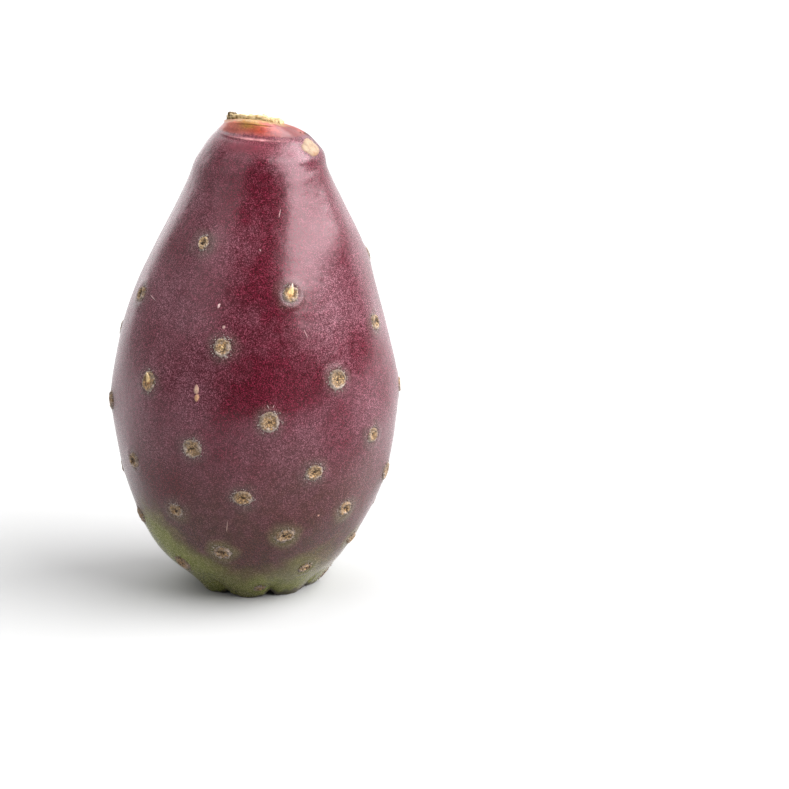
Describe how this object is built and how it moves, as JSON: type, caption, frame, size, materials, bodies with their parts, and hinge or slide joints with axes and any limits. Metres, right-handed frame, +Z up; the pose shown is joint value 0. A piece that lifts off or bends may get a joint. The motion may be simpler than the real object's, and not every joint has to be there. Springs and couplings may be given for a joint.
{
  "type": "prickly pear fruit",
  "caption": "Whole ripe red-purple cactus fruit, pear-shaped with corky areoles in spiral rows, a dry torn stem scar on top and a scalloped, dimpled flower end that it stands on.",
  "frame": {"origin": "on the ground, in the middle of the fruit's footprint", "axes": "+Z up from the flower end to the stem end, -Y the side that faces the viewer, +X to that viewer's right"},
  "size_m": [0.0527, 0.0526, 0.0879],
  "materials": {
    "skin": "waxy matt maroon-purple skin with a pale bloom, greener at the flower end and red-orange round the stem scar, with tan corky areoles",
    "scar": "dry torn straw-coloured fibre with dark brown flecks"
  },
  "bodies": {
    "root": {"fruit": "skin", "stem_scar": "scar"}
  },
  "joints": []
}
